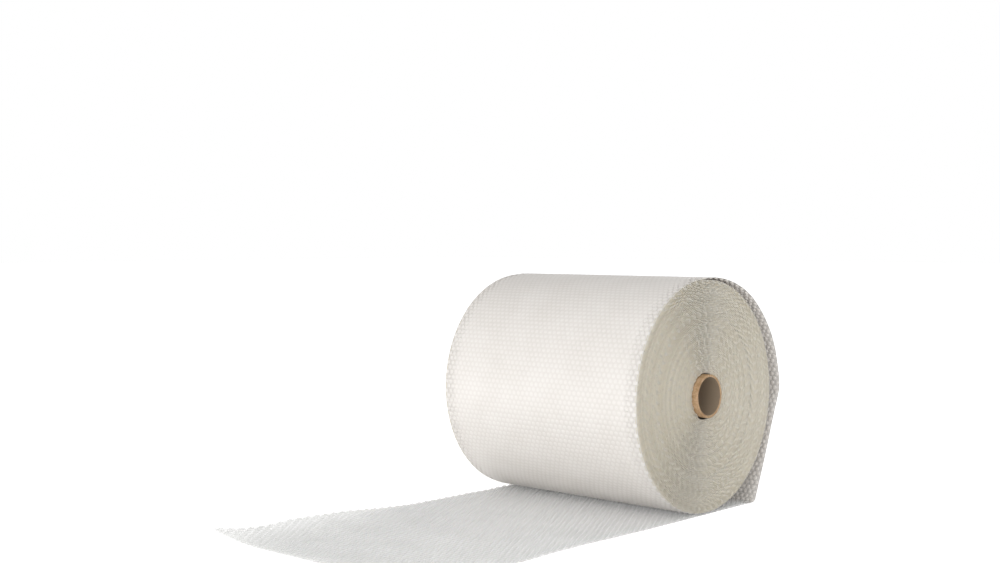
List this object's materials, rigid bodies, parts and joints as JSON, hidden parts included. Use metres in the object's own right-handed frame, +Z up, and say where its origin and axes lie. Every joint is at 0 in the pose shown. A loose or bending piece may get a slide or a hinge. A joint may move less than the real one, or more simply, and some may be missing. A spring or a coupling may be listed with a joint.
{
  "type": "bubble wrap roll",
  "caption": "Roll of bubble cushioning film on a paperboard core, lying on its side with a slack last turn and a loose tail on the floor.",
  "frame": {"origin": "centre of the core's bore, on its axis and halfway along it", "axes": "+X along the core's axis, +Z up, -Y towards the loose tail"},
  "size_m": [0.51, 1.1006, 0.47],
  "materials": {
    "film": "milky translucent polyethylene film, soft gloss",
    "paperboard": "raw brown paperboard, matt"
  },
  "bodies": {
    "root": {"bubble_film": "film", "core_tube": "paperboard"}
  },
  "joints": []
}
